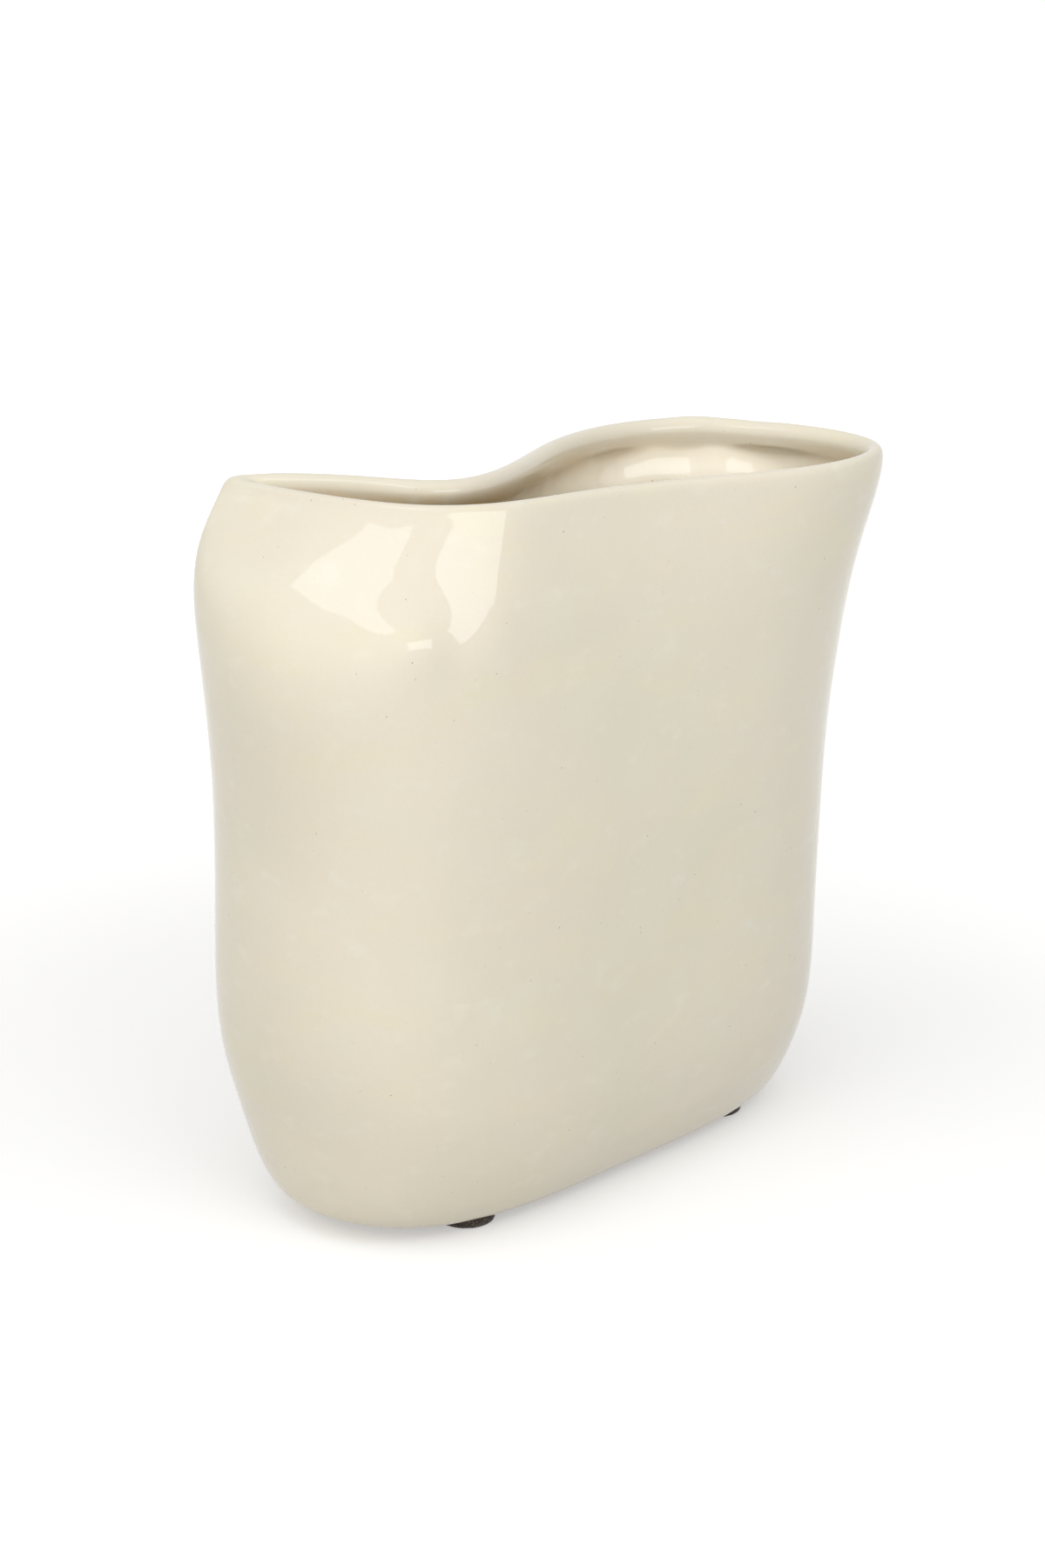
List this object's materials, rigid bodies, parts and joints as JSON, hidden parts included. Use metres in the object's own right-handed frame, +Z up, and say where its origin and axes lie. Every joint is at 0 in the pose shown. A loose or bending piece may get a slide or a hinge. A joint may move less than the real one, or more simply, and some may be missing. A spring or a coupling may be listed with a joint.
{
  "type": "pillow vase",
  "caption": "Soft, flattened ceramic vase with rounded corners and a wavy mouth that runs from a pinched slit to an open bulb, with a rolled lip, on stick-on felt pads.",
  "frame": {"origin": "middle of the vase's outline in plan, at the undersides of the felt pads", "axes": "+Z up, +X to the right along the width towards the open end of the mouth, the front wall faces -Y"},
  "size_m": [0.2294, 0.1208, 0.2302],
  "materials": {
    "glaze": "glossy cream glaze with fine brown specks",
    "felt": "dark brown pressed felt",
    "adhesive": "translucent self-adhesive film"
  },
  "bodies": {
    "root": {"vase_body": "glaze", "felt_pad_front_left": "felt", "felt_pad_front_right": "felt", "felt_pad_back_left": "felt", "felt_pad_back_right": "felt", "adhesive_disc_front_left": "adhesive", "adhesive_disc_front_right": "adhesive", "adhesive_disc_back_left": "adhesive", "adhesive_disc_back_right": "adhesive"}
  },
  "joints": []
}
